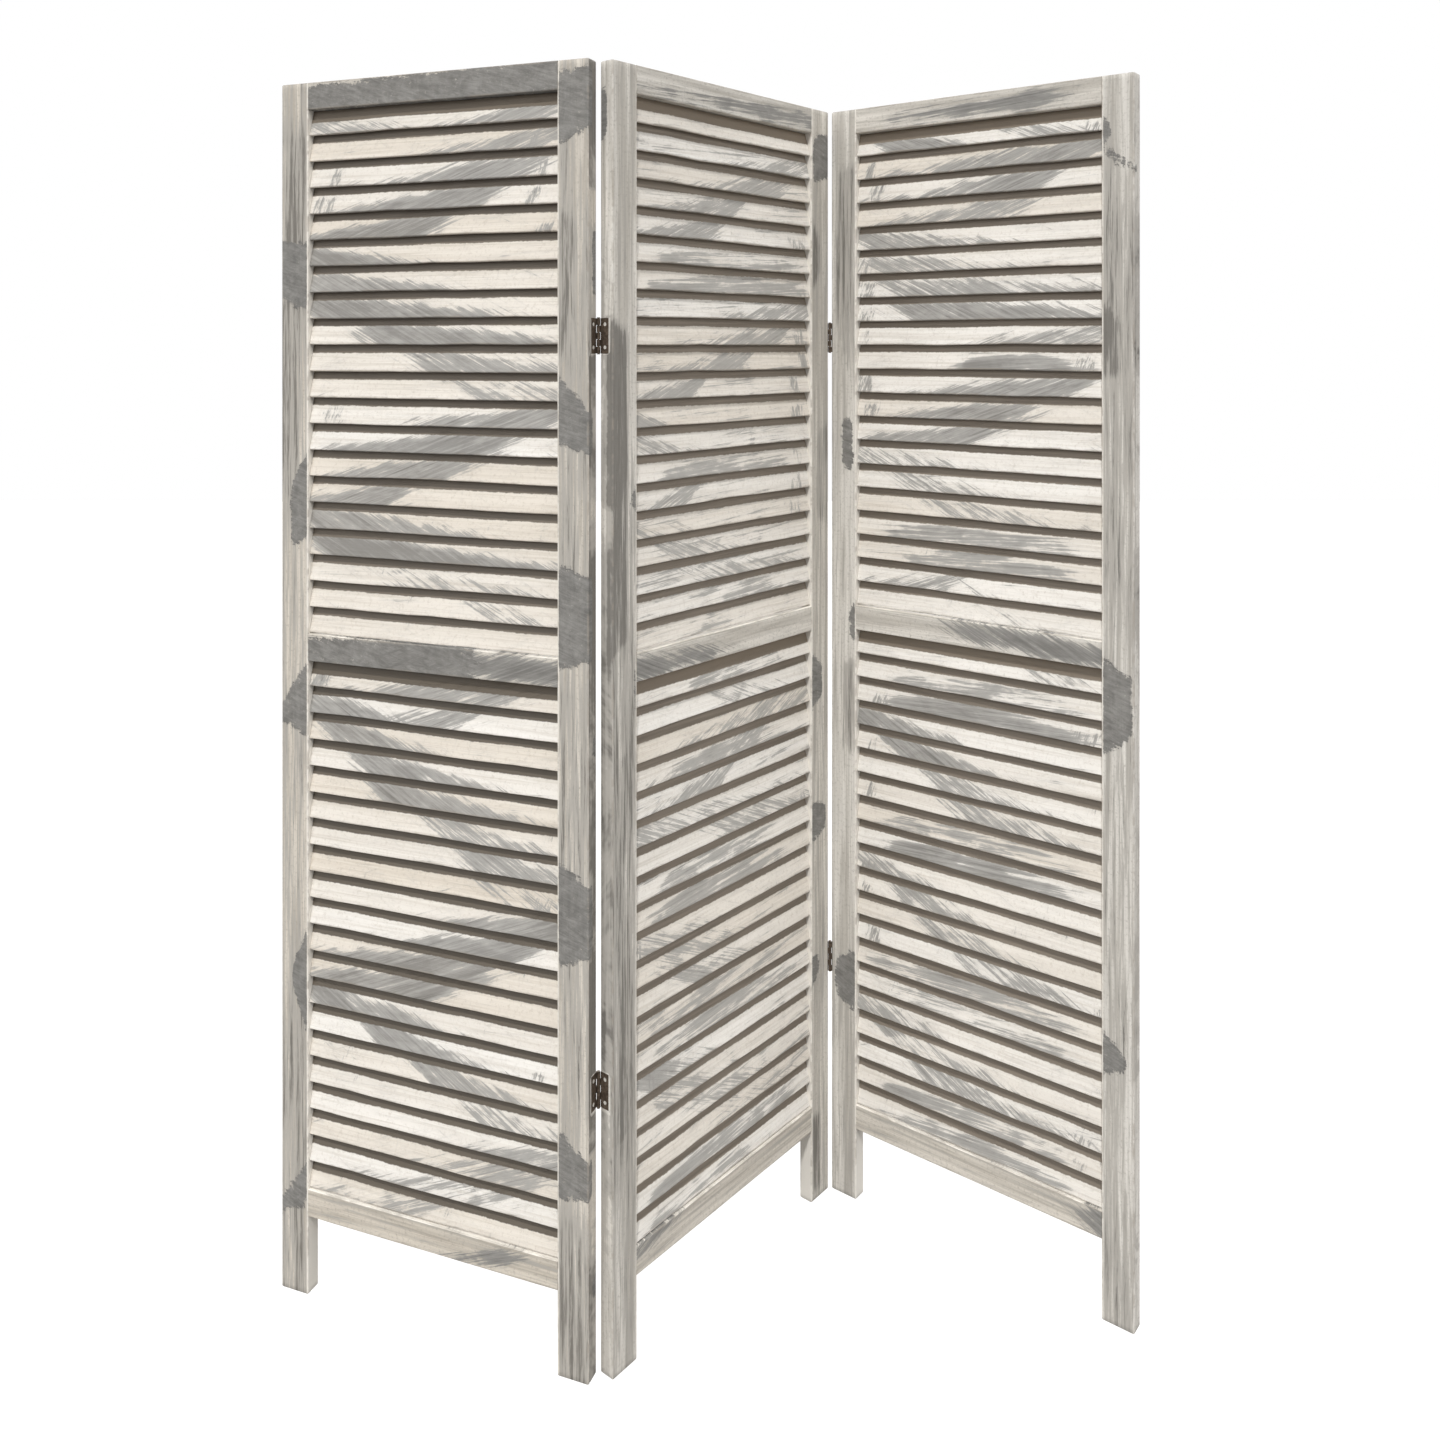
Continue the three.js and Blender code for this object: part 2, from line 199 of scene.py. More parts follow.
class Shader:
    """A material's node tree, with one short call for each kind of node that is used here."""

    def __init__(self, name, metallic=0.0):
        self.material = bpy.data.materials.new(name)
        self.material.use_nodes = True
        self.tree = self.material.node_tree
        self.surface = self.tree.nodes["Principled BSDF"]
        self.surface.inputs["Metallic"].default_value = metallic
        self.place = self.node("ShaderNodeTexCoord").outputs["Object"]

    def node(self, kind, **settings):
        node = self.tree.nodes.new(kind)
        for key, value in settings.items():
            setattr(node, key, value)
        return node

    def plug(self, socket, value):
        if isinstance(value, bpy.types.NodeSocket):
            self.tree.links.new(value, socket)
        elif isinstance(value, tuple) and len(value) == 3 and socket.type == "RGBA":
            socket.default_value = (*value, 1)
        else:
            socket.default_value = value

    def math(self, operation, a, b=0.0):
        node = self.node("ShaderNodeMath", operation=operation)
        self.plug(node.inputs[0], a)
        self.plug(node.inputs[1], b)
        return node.outputs[0]

    def smooth(self, value, low, high, to_low=0.0, to_high=1.0):
        """value, from low to high, turned smoothly into to_low to to_high."""
        node = self.node("ShaderNodeMapRange", interpolation_type="SMOOTHSTEP")
        for socket, number in zip(node.inputs, (value, low, high, to_low, to_high)):
            self.plug(socket, number)
        return node.outputs[0]

    def mix(self, factor, a, b, blend="MIX"):
        node = self.node("ShaderNodeMix", data_type="RGBA", blend_type=blend)
        self.plug(node.inputs["Factor"], factor)
        self.plug(node.inputs[6], a)
        self.plug(node.inputs[7], b)
        return node.outputs[2]

    def stretched(self, scale, turn=0.0):
        """The place on the piece, turned about Y and then stretched."""
        turned = self.node("ShaderNodeMapping")
        self.plug(turned.inputs["Vector"], self.place)
        turned.inputs["Rotation"].default_value = (0, turn, 0)
        node = self.node("ShaderNodeMapping")
        self.plug(node.inputs["Vector"], turned.outputs[0])
        node.inputs["Scale"].default_value = scale
        return node.outputs[0]

    def noise(self, scale, detail, roughness, distortion=0.0, turn=0.0):
        """Noise with its own scale along each axis, in waves per metre."""
        node = self.node("ShaderNodeTexNoise")
        self.plug(node.inputs["Vector"], self.stretched(scale, turn))
        node.inputs["Scale"].default_value = 1.0
        node.inputs["Detail"].default_value = detail
        node.inputs["Roughness"].default_value = roughness
        node.inputs["Distortion"].default_value = distortion
        return node.outputs[0]

    def attribute(self, name):
        return self.node("ShaderNodeAttribute", attribute_name=name).outputs["Fac"]

    def bump(self, height, distance, strength):
        node = self.node("ShaderNodeBump")
        node.inputs["Strength"].default_value = strength
        node.inputs["Distance"].default_value = distance
        self.plug(node.inputs["Height"], height)
        self.plug(self.surface.inputs["Normal"], node.outputs[0])

    def weighted(self, *pairs):
        """The sum of each value times its weight."""
        total = None
        for value, weight in pairs:
            part = self.math("MULTIPLY", value, weight)
            total = part if total is None else self.math("ADD", total, part)
        return total

    def greatest(self, first, *others):
        for other in others:
            first = self.math("MAXIMUM", first, other)
        return first


# The whitewash's colours: its lightest, its darkest and the wood that shows through it
FRAME_BASE = ((0.83, 0.805, 0.755), (0.55, 0.525, 0.478), (0.27, 0.243, 0.207))
SLAT_BASE = ((0.88, 0.855, 0.81), (0.81, 0.78, 0.73), (0.58, 0.535, 0.47))

# The brushed paint's colours, thin and thick, the tint of creamy white, and the white of the frame's
# inner edges and ledges
FRAME_GREYS = ((0.300, 0.294, 0.280), (0.140, 0.137, 0.130))
SLAT_GREYS = ((0.37, 0.362, 0.345), (0.125, 0.121, 0.113))
STREAK_BROWNS = ((0.45, 0.428, 0.393), (0.150, 0.141, 0.127))
CREAM = (0.87, 0.825, 0.765)
INNER_EDGE_WHITE = (0.87, 0.835, 0.77)

# The bare timber's colours: on worn edges, and on the slats high up, darkest and lightest, darkened as
# painted shade, then the painted shadow under a rail, and the deeper painted shade between the slats
WORN_EDGE = (0.36, 0.32, 0.27)
BARE_AND_SHADED_WOODS = ((0.215, 0.181, 0.144), (0.31, 0.265, 0.215))
RAIL_SHADOW_WOOD = (0.235, 0.192, 0.145)
SLAT_GAP_SHADE_WOOD = (0.075, 0.063, 0.047)

# The metals' colours, darkest and lightest
BRONZES = ((0.075, 0.055, 0.040), (0.165, 0.125, 0.092))
SCREW_METALS = ((0.74, 0.71, 0.65), (0.92, 0.90, 0.85))

# The noise scales along x, y and z of upright and level frame timber and of slats
UPRIGHT_GRAIN, LEVEL_GRAIN, SLAT_GRAIN = (230, 230, 7), (7, 230, 230), (6, 260, 260)

# Each brush's turn from lying along the piece, and its noise scale along and across the bristles
BRUSHES = {
    "fall": (math.radians(-25), 9, 270),
    "rise": (math.radians(21), 9, 270),
    "level": (math.radians(3), 6, 210),
    "dab": (math.radians(78), 45, 250),
}
STREAK_BRUSH = (6, 210)
RAIL_BRUSHES = ("fall", "rise", "level")
SLAT_BRUSHES = ("fall", "rise", "level", "dab")

# Sums of noise and cover: where a brush starts to leave faint paint, full paint and thick paint, and
# where a patch lies
FAINT_PAINT, FULL_PAINT, THICK_PAINT, PATCH = (2.00, 2.32), (2.30, 2.46), (2.38, 3.10), (2.26, 2.36)

# How opaque the thinnest paint is, and what a full body adds
THIN_FILM, BODY_FILM = 0.64, 0.30

# Where a slat's paint ends and bare timber darkened as painted shade begins, in metres from its lower edge
# in front and from its upper edge behind
BARE_AND_SHADED_FROM = (0.0266, 0.0281)


def brushed(shader, cover, patchy, turn, along, across):
    """Dry-brushed paint, solid where cover is high and broken into bristle lines where it is low.
    Gives where it lies and how thickly."""
    fine = shader.noise((along, along, across), 5, 0.78, 0.35, turn)
    wide = shader.noise((along * 0.7, along, across * 0.28), 3, 0.65, 0.6, turn)
    total = shader.weighted((fine, 2.0), (wide, 0.9), (patchy, 0.9), (cover, 1.0))
    faint, full = shader.smooth(total, *FAINT_PAINT), shader.smooth(total, *FULL_PAINT)
    lies = shader.weighted((faint, 0.18), (full, 0.82))
    scratch = shader.math("MULTIPLY", shader.smooth(fine, 0.62, 0.68), shader.smooth(cover, 0.20, 0.55))
    thick = shader.weighted((shader.smooth(total, *THICK_PAINT), 0.85), (scratch, 0.5))
    return lies, shader.math("MULTIPLY", lies, thick)


def coarser(grain):
    return tuple(0.25 * scale for scale in grain)


def whitewash(shader, grain, light, dark, wood, fine):
    """Thin, uneven paint through which the wood shows."""
    wide = shader.noise(coarser(grain), 4, 0.6, 0.8)
    speck = shader.noise((210, 210, 210), 4, 0.75)
    colour = shader.mix(shader.smooth(wide, 0.36, 0.66), light, dark)
    colour = shader.mix(shader.smooth(fine, 0.46, 0.70, 0.0, 0.50), colour, wood)
    colour = shader.mix(shader.smooth(speck, 0.50, 0.72, 0.0, 0.50), colour, wood)
    return shader.mix(shader.attribute("tone"), colour, CREAM, "MULTIPLY")


def solid_patches(shader, grain):
    """Opaque patches with torn edges, lighter flecks and brush marks, as where and how thickly."""
    marks = shader.noise((30, 30, 210), 5, 0.75, 0.6, math.radians(-18))
    fine = shader.noise((120, 120, 120), 6, 0.85)
    cloud = shader.noise((45, 45, 45), 5, 0.75, 0.5)
    grainy = shader.noise(tuple(max(0.8 * scale, 30) for scale in grain), 4, 0.7, 0.3)
    solid = shader.attribute("solid")
    torn = shader.weighted((fine, 1.1), (cloud, 1.0), (grainy, 0.7), (marks, 0.8), (solid, 1.0))
    lies = shader.smooth(torn, *PATCH)
    fleck = shader.smooth(fine, 0.585, 0.65, 1.0, 0.45)
    cloudy, marked = shader.smooth(cloud, 0.32, 0.66), shader.smooth(marks, 0.36, 0.62)
    thick = shader.weighted((cloudy, 0.55), (marked, 0.45))
    return shader.math("MULTIPLY", lies, fleck), shader.math("MULTIPLY", lies, thick)


def streaked(shader, colour, grain, turn):
    """Brownish streaks along the timber, and clean white on its inner edges and ledges."""
    bands = shader.noise(coarser(grain), 3, 0.6, 0.8)
    streaks, thick = brushed(shader, shader.attribute("streaky"), bands, turn, *STREAK_BRUSH)
    streak_colour = shader.mix(shader.smooth(thick, 0.08, 0.62), *STREAK_BROWNS)
    colour = shader.mix(shader.math("MULTIPLY", streaks, 0.86), colour, streak_colour)
    return shader.mix(shader.attribute("pale"), colour, INNER_EDGE_WHITE)


def bare_and_shaded_wood(shader, fine):
    """Where a slat's timber is bare, high up on its face, and its colour there, darkened as painted shade
    where the slat above shades it.
    """
    edge = shader.noise((160, 160, 160), 3, 0.6)
    ragged = shader.weighted((edge, 0.003), (shader.attribute("inward"), 1.0))
    wood = shader.mix(shader.smooth(fine, 0.3, 0.7), *BARE_AND_SHADED_WOODS)
    # Painted shadow cast by the rail onto the top slat
    wood = shader.mix(shader.attribute("gloom"), wood, RAIL_SHADOW_WOOD)
    # Painted shade between the slats, darker on some panels and openings
    wood = shader.mix(shader.attribute("dingy"), wood, SLAT_GAP_SHADE_WOOD)
    return shader.smooth(ragged, *BARE_AND_SHADED_FROM), wood


def painted_wood(name, grain, base, greys, brushes, turn=None):
    """Whitewashed timber with grey brushed over it. Given the turn of its streaks it is frame timber,
    with streaks and solid patches, and otherwise it is slat timber, bare high up on its face and darkened
    there as painted shade."""
    shader = Shader(name)
    fine = shader.noise(tuple(grain), 6, 0.66, 0.3)
    patchy = shader.noise((16, 16, 36), 3, 0.6, 0.8)
    colour = whitewash(shader, grain, *base, fine)
    strokes = [brushed(shader, shader.attribute(kind), patchy, *BRUSHES[kind]) for kind in brushes]
    if turn is not None:
        colour = streaked(shader, colour, grain, turn)
        strokes.append(solid_patches(shader, grain))
    paint = shader.greatest(*(lies for lies, _ in strokes))
    body = shader.math("SUBTRACT", 1.0, shader.attribute("thin"))
    thick = shader.math("MULTIPLY", shader.greatest(*(thick for _, thick in strokes)), body)
    film = shader.math("ADD", shader.math("MULTIPLY", body, BODY_FILM), THIN_FILM)
    colour = shader.mix(shader.math("MULTIPLY", paint, film), colour, shader.mix(thick, *greys))
    if turn is None:
        # Painted shade: the slat's bare upper face, darkened where the slat above shades it
        bare, wood = bare_and_shaded_wood(shader, fine)
        colour = shader.mix(bare, colour, wood)
    wear = shader.smooth(patchy, 0.44, 0.62, 0.0, 0.5)
    colour = shader.mix(shader.math("MULTIPLY", shader.attribute("edge"), wear), colour, WORN_EDGE)
    shader.plug(shader.surface.inputs["Base Color"], colour)
    shader.bump(shader.weighted((fine, 0.8), (paint, 0.35), (thick, 0.4)), 0.0006, 0.9)
    shader.plug(shader.surface.inputs["Roughness"], shader.smooth(fine, 0.3, 0.8, 0.55, 0.75))
    return shader.material


def mottled_metal(name, metallic, mottle, colours, roughness, relief, pits=None):
    """Metal with patches of colour and roughness, and pits, or else a relief that follows the patches.
    mottle and pits are the noise's scale, detail and roughness."""
    shader = Shader(name, metallic)
    patches = shader.noise(*mottle)
    colour = shader.mix(shader.smooth(patches, 0.35, 0.7), *colours)
    shader.plug(shader.surface.inputs["Base Color"], colour)
    shader.plug(shader.surface.inputs["Roughness"], shader.smooth(patches, 0.3, 0.7, *roughness))
    shader.bump(shader.noise(*pits) if pits else patches, 0.0001, relief)
    return shader.material


# ---- The grey brushwork ----
# A sweep of the brush crosses several slats. It has a kind, its first and last slat counted from the
# top, and, on each of those two, where it starts and ends across the opening and its load of paint.
# "fall" falls to the right and thins out there, "rise" climbs to the right and thins out at the left,
# and "level" lies along the slat.

SWEEPS = {
    ("left_panel", "upper_louvres"): (
        ("fall", 1, 1, (0.03, 0.45, 0.50), (0.03, 0.45, 0.50)),
        ("rise", 1, 2, (0.52, 1.02, 0.70), (0.36, 1.00, 0.75)),
        ("rise", 3, 5, (0.30, 0.92, 0.85), (-0.02, 0.50, 0.92)),
        ("fall", 6, 8, (-0.12, 0.48, 1.00), (0.05, 0.88, 0.95)),
        ("fall", 9, 11, (0.22, 1.02, 0.90), (0.70, 1.30, 0.55)),
        ("rise", 12, 12, (0.38, 1.00, 0.90), (0.38, 1.00, 0.90)),
        ("rise", 13, 15, (0.04, 0.80, 1.02), (-0.10, 0.38, 0.88)),
        ("fall", 16, 17, (0.00, 0.70, 0.88), (0.02, 1.05, 1.00)),
        ("fall", 18, 19, (0.28, 1.02, 0.45), (0.72, 1.05, 0.40)),
    ),
    ("left_panel", "lower_louvres"): (
        ("rise", 1, 2, (0.03, 0.82, 0.80), (0.22, 0.65, 0.70)),
        ("fall", 2, 8, (-0.08, 0.38, 1.00), (0.82, 1.40, 0.50)),
        ("rise", 9, 12, (0.52, 1.05, 0.80), (-0.15, 0.55, 1.00)),
        ("fall", 13, 16, (0.00, 0.60, 0.95), (0.70, 1.05, 0.55)),
        ("rise", 17, 20, (0.60, 1.15, 0.60), (-0.05, 0.50, 0.45)),
    ),
    ("middle_panel", "upper_louvres"): (
        ("rise", 2, 5, (0.38, 1.05, 0.55), (-0.05, 0.35, 0.78)),
        ("level", 6, 7, (0.08, 0.95, 0.60), (0.04, 0.97, 0.65)),
        ("rise", 8, 11, (0.42, 1.00, 0.60), (-0.02, 0.32, 0.70)),
        ("fall", 12, 13, (-0.02, 0.22, 0.75), (0.00, 0.35, 0.60)),
        ("level", 13, 14, (0.35, 0.90, 0.45), (0.10, 0.95, 0.70)),
        ("rise", 15, 15, (-0.02, 0.32, 0.60), (-0.02, 0.32, 0.60)),
        ("fall", 16, 18, (0.00, 0.35, 0.50), (0.30, 0.98, 0.50)),
        ("level", 19, 20, (0.45, 0.90, 0.55), (0.35, 0.62, 0.45)),
    ),
    ("middle_panel", "lower_louvres"): (
        ("level", 1, 1, (0.20, 0.90, 0.45), (0.20, 0.90, 0.45)),
        ("fall", 2, 2, (0.50, 0.98, 0.50), (0.50, 0.98, 0.50)),
        ("rise", 3, 5, (0.10, 0.95, 0.50), (-0.02, 0.42, 0.60)),
        ("level", 4, 4, (0.20, 0.95, 0.62), (0.20, 0.95, 0.62)),
        ("fall", 6, 7, (0.02, 0.90, 0.55), (0.45, 1.20, 0.48)),
        ("level", 8, 9, (0.05, 0.90, 0.58), (0.10, 0.92, 0.72)),
        ("fall", 10, 12, (0.00, 0.45, 0.52), (0.25, 0.75, 0.48)),
        ("level", 13, 14, (0.05, 0.90, 0.58), (0.05, 0.98, 0.68)),
        ("fall", 15, 18, (0.00, 0.42, 0.55), (0.50, 0.98, 0.42)),
        ("level", 19, 20, (0.08, 0.92, 0.72), (0.05, 0.70, 0.50)),
    ),
    ("right_panel", "upper_louvres"): (
        ("fall", 1, 1, (0.10, 0.52, 0.90), (0.10, 0.52, 0.90)),
        ("fall", 1, 1, (0.62, 1.05, 0.65), (0.62, 1.05, 0.65)),
        ("rise", 2, 4, (0.06, 1.00, 0.85), (0.03, 0.74, 0.78)),
        ("fall", 5, 8, (0.02, 0.66, 0.65), (0.20, 1.20, 0.88)),
        ("rise", 9, 9, (0.50, 1.08, 0.70), (0.50, 1.08, 0.70)),
        ("level", 10, 10, (0.48, 0.95, 0.95), (0.48, 0.95, 0.95)),
        ("rise", 11, 13, (0.22, 0.92, 1.00), (-0.05, 0.50, 0.92)),
        ("fall", 14, 16, (0.00, 0.55, 0.55), (0.32, 0.95, 0.58)),
        ("level", 17, 18, (0.06, 0.94, 0.65), (0.18, 0.92, 0.75)),
        ("rise", 19, 19, (0.00, 0.42, 0.65), (0.00, 0.42, 0.65)),
        ("fall", 19, 20, (0.48, 0.66, 0.50), (0.58, 0.80, 0.45)),
    ),
    ("right_panel", "lower_louvres"): (
        ("fall", 1, 1, (0.74, 1.05, 0.50), (0.74, 1.05, 0.50)),
        ("level", 2, 3, (0.08, 0.96, 0.75), (0.10, 0.98, 0.80)),
        ("fall", 4, 7, (-0.02, 0.45, 0.98), (0.45, 1.02, 0.65)),
        ("level", 8, 9, (0.05, 0.95, 0.62), (0.08, 0.96, 0.92)),
        ("fall", 10, 13, (0.02, 0.42, 0.68), (0.48, 1.05, 0.65)),
        ("level", 14, 15, (0.02, 0.95, 0.80), (0.10, 0.95, 0.58)),
        ("fall", 16, 18, (0.02, 0.50, 0.62), (0.28, 0.92, 0.70)),
        ("level", 19, 20, (0.10, 0.92, 0.82), (0.14, 0.86, 0.60)),
    ),
}

# How boldly and how thinly each panel's slats are brushed, the cover of faint streaks all over them,
# and how creamy their white and the frame's white is
BOLDNESS = {"left_panel": 1.09, "middle_panel": 1.04, "right_panel": 0.97}
THINNESS = {"left_panel": 0.14, "middle_panel": 0.30, "right_panel": 0.08}
FAINT_STREAKS = {"left_panel": 0.06, "middle_panel": 0.30, "right_panel": 0.12}
CREAMINESS = {"left_panel": 0.32, "middle_panel": 0.15, "right_panel": 0.0}
FRAME_CREAMINESS = {"left_panel": 0.50, "middle_panel": 0.05, "right_panel": -0.1}

# How dark the painted shade on the bare timber between the slats is
SLAT_GAP_SHADE_DEPTH = {
    ("left_panel", "upper_louvres"): 0.48, ("left_panel", "lower_louvres"): 0.70,
    ("middle_panel", "upper_louvres"): 0.0, ("middle_panel", "lower_louvres"): 0.0,
    ("right_panel", "upper_louvres"): 0.18, ("right_panel", "lower_louvres"): 0.28,
}

# How much of a slat's face is in sight
SEEN_HEIGHT = 0.0265

# Slats below this height get the bare, painted-shade zone further towards their edge, by this much at the
# floor
LONGER_SHADE_BELOW, LONGER_SHADE_BY = 1.33, 0.0046

# The same for an opening's top slat, and where up its face the painted shadow under the rail begins and is
# full
TOP_SLAT_LONGER_SHADE_BY = 0.008
TOP_SLAT_RAIL_SHADOW = (0.016, 0.021)

# How far a stroke leans across the opening over a slat's height, and its loose lines' share of paint
LEAN = 0.10
STRAY = 0.42

# How much the strokes' starts, ends, loads and faint streaks and the slats' creaminess vary
START_SPREAD, END_SPREAD = 0.025, 0.04
LOADS = (0.80, 1.04)
FAINTNESS = (0.4, 1)
TONE_SPREAD = 0.25

# How much the dabs' places, widths, heights and loads vary
DAB_SPREAD = 0.022
DAB_WIDTHS, DAB_HEIGHTS, DAB_LOADS = (0.025, 0.060), (0.45, 1.1), (0.38, 0.62)

# Short upright dabs: where across the opening, and on which slats
DABS = {
    ("left_panel", "upper_louvres"): ((0.92, (2, 3, 4, 5)), (0.10, (3, 4, 12))),
    ("left_panel", "lower_louvres"): ((0.96, (8, 14)), (0.03, (1, 2))),
    ("middle_panel", "upper_louvres"): ((0.91, (5, 9, 10, 11, 12, 14, 15, 16)),),
    ("middle_panel", "lower_louvres"): ((0.96, (2, 7)), (0.05, (10, 15))),
    ("right_panel", "upper_louvres"): ((0.06, (2, 3, 6, 7, 8, 9, 11, 12)), (0.96, (1, 2, 10))),
    ("right_panel", "lower_louvres"): ((0.06, (3, 5, 7, 10, 11, 13)), (0.95, (3, 13, 18, 19))),
}

# How streaky each stile is, at depths below its top
STREAKS = {
    ("left_panel", "left"): (
        (0.04, 0.35), (0.08, 0.68), (0.50, 0.68), (0.66, 0.48), (1.20, 0.50), (1.50, 0.68),
    ),
    ("left_panel", "right"): (
        (0.10, 0.42), (0.40, 0.52), (0.79, 0.46), (0.82, 0.62), (1.02, 0.62), (1.18, 0.55),
        (1.30, 0.46), (1.46, 0.46), (1.50, 0.70),
    ),
    ("middle_panel", "left"): (
        (0.00, 0.25), (0.32, 0.25), (0.56, 0.65), (1.25, 0.70), (1.60, 0.50),
    ),
    ("middle_panel", "right"): (
        (0.10, 0.15), (0.16, 0.32), (0.60, 0.25), (0.85, 0.38), (1.65, 0.35),
    ),
    ("right_panel", "left"): (
        (0.00, 0.15), (0.47, 0.25), (0.60, 0.15), (1.30, 0.22), (1.45, 0.42),
    ),
    ("right_panel", "right"): (
        (0.00, 0.25), (0.12, 0.35), (0.20, 0.58), (0.80, 0.48), (1.40, 0.42), (1.60, 0.55),
    ),
}

# Patches on the stiles, "solid" or brushed "along" the stile. Each has the depths of its upper edge at
# the left and right and of its lower edge at the left and right, below the stile's top in metres, its
# left and right sides as fractions of the stile's width, and its load of paint.
STILE_PATCHES = {
    ("left_panel", "left"): (
        ("solid", 0.220, 0.222, 0.305, 0.322, 0.00, 1.00, 1.00),
        ("solid", 0.560, 0.515, 0.655, 0.640, 0.35, 1.00, 1.00),
        ("solid", 0.870, 0.805, 0.900, 0.920, 0.00, 1.00, 0.90),
        ("solid", 1.250, 1.180, 1.265, 1.340, 0.35, 1.00, 1.00),
        ("solid", 1.565, 1.510, 1.600, 1.575, 0.00, 1.00, 0.80),
        ("along", 0.060, 0.080, 0.200, 0.190, 0.25, 0.85, 0.55),
        ("along", 0.340, 0.350, 0.500, 0.470, 0.20, 0.80, 0.42),
        ("along", 1.380, 1.370, 1.480, 1.490, 0.00, 1.00, 0.50),
    ),
    ("left_panel", "right"): (
        ("solid", 0.012, 0.008, 0.112, 0.090, 0.00, 1.00, 1.00),
        ("solid", 0.404, 0.450, 0.496, 0.512, 0.00, 1.00, 1.00),
        ("solid", 0.650, 0.664, 0.790, 0.775, 0.00, 1.00, 1.00),
        ("solid", 1.032, 1.062, 1.172, 1.158, 0.00, 1.00, 1.00),
        ("solid", 1.378, 1.415, 1.474, 1.468, 0.00, 1.00, 0.95),
        ("along", 0.180, 0.200, 0.390, 0.440, 0.00, 0.75, 0.62),
        ("along", 0.820, 0.830, 1.020, 1.040, 0.10, 1.00, 0.55),
    ),
    ("middle_panel", "left"): (
        ("along", 0.330, 0.345, 0.780, 0.760, 0.00, 0.66, 0.95),
        ("along", 0.420, 0.410, 1.000, 1.020, 0.00, 0.90, 0.50),
        ("solid", 0.560, 0.550, 0.575, 0.600, 0.70, 1.00, 0.90),
        ("along", 0.900, 0.880, 1.420, 1.400, 0.10, 0.70, 0.80),
        ("solid", 0.800, 0.780, 0.850, 0.860, 0.80, 1.00, 0.70),
    ),
    ("middle_panel", "right"): (
        ("solid", 0.042, 0.034, 0.118, 0.104, 0.08, 1.00, 1.00),
        ("along", 0.160, 0.200, 0.300, 0.260, 0.00, 0.50, 0.75),
        ("along", 0.500, 0.480, 0.640, 0.660, 0.30, 1.00, 0.60),
        ("solid", 0.845, 0.860, 0.940, 0.920, 0.00, 0.65, 0.90),
        ("solid", 1.075, 1.085, 1.145, 1.130, 0.00, 0.85, 0.90),
        ("solid", 1.310, 1.320, 1.370, 1.350, 0.00, 0.50, 0.85),
        ("along", 1.560, 1.560, 1.690, 1.700, 0.05, 0.50, 0.90),
    ),
    ("right_panel", "left"): (
        ("along", 0.085, 0.080, 0.330, 0.470, 0.12, 1.00, 0.60),
        ("solid", 0.476, 0.480, 0.560, 0.572, 0.40, 0.90, 0.85),
        ("along", 0.300, 0.330, 0.760, 0.800, 0.30, 0.95, 0.32),
        ("solid", 0.775, 0.765, 0.830, 0.835, 0.70, 1.00, 0.90),
        ("along", 0.860, 0.850, 1.000, 1.020, 0.40, 1.00, 0.60),
        ("solid", 1.330, 1.305, 1.395, 1.410, 0.10, 1.00, 0.85),
    ),
    ("right_panel", "right"): (
        ("solid", 0.050, 0.065, 0.100, 0.090, 0.00, 0.30, 1.00),
        ("solid", 0.088, 0.118, 0.108, 0.140, 0.00, 1.00, 0.75),
        ("along", 0.160, 0.140, 0.900, 0.950, 0.20, 1.00, 0.45),
        ("along", 0.300, 0.330, 0.420, 0.420, 0.00, 0.65, 0.85),
        ("solid", 0.790, 0.815, 0.935, 0.900, 0.00, 0.95, 0.85),
        ("solid", 1.300, 1.325, 1.365, 1.355, 0.00, 0.75, 0.90),
    ),
}

# How streaky the outer side face of a stile is, where it is streakier than the front: brown streaks that
# also stand for painted shade on that face
SIDE_STREAKS_AND_SHADE = {("left_panel", "right"): 0.95}

# How streaky the rails are, and how much creamier than the rest of the frame
RAIL_STREAKS = {"top_rail": 0.12, "mid_rail": 0.12, "bottom_rail": 0.34}
RAIL_CREAMINESS = {"top_rail": 0.0, "mid_rail": 0.0, "bottom_rail": 0.55}

# Patches on the rails, each with its kind of brushwork, depths below the rail's top, and sides as
# fractions of the opening's width
RAIL_PATCHES = {
    ("left_panel", "top_rail"): (("solid", 0.005, -0.006, 0.040, 0.048, -0.1, 1.1, 1.05),),
    ("left_panel", "mid_rail"): (
        ("solid", 0.006, -0.012, 0.052, 0.052, -0.1, 0.70, 1.0),
        ("rise", 0.000, 0.000, 0.046, 0.036, 0.25, 1.1, 0.88),
    ),
    ("left_panel", "bottom_rail"): (("rise", 0.030, 0.000, 0.046, 0.022, 0.58, 0.88, 1.0),),
    ("middle_panel", "top_rail"): (("level", 0.018, 0.004, 0.036, 0.038, 0.0, 1.1, 0.68),),
    ("middle_panel", "mid_rail"): (("fall", 0.002, 0.018, 0.042, 0.042, -0.1, 0.46, 0.85),),
    ("middle_panel", "bottom_rail"): (("rise", -0.01, -0.01, 0.02, 0.01, 0.0, 0.25, 0.75),),
    ("right_panel", "top_rail"): (("level", 0.010, 0.002, 0.034, 0.036, 0.12, 0.90, 0.78),),
    ("right_panel", "mid_rail"): (("fall", -0.006, 0.006, 0.026, 0.044, 0.40, 1.1, 0.82),),
    ("right_panel", "bottom_rail"): (("fall", -0.002, -0.002, 0.030, 0.042, 0.88, 1.1, 0.9),),
}

# How a patch's paint fades: from outside to inside its upper and lower edges, in metres, and its sides,
# in fractions of the width
PATCH_ENDS, PATCH_SIDES = (-0.014, 0.018), (-0.14, 0.16)

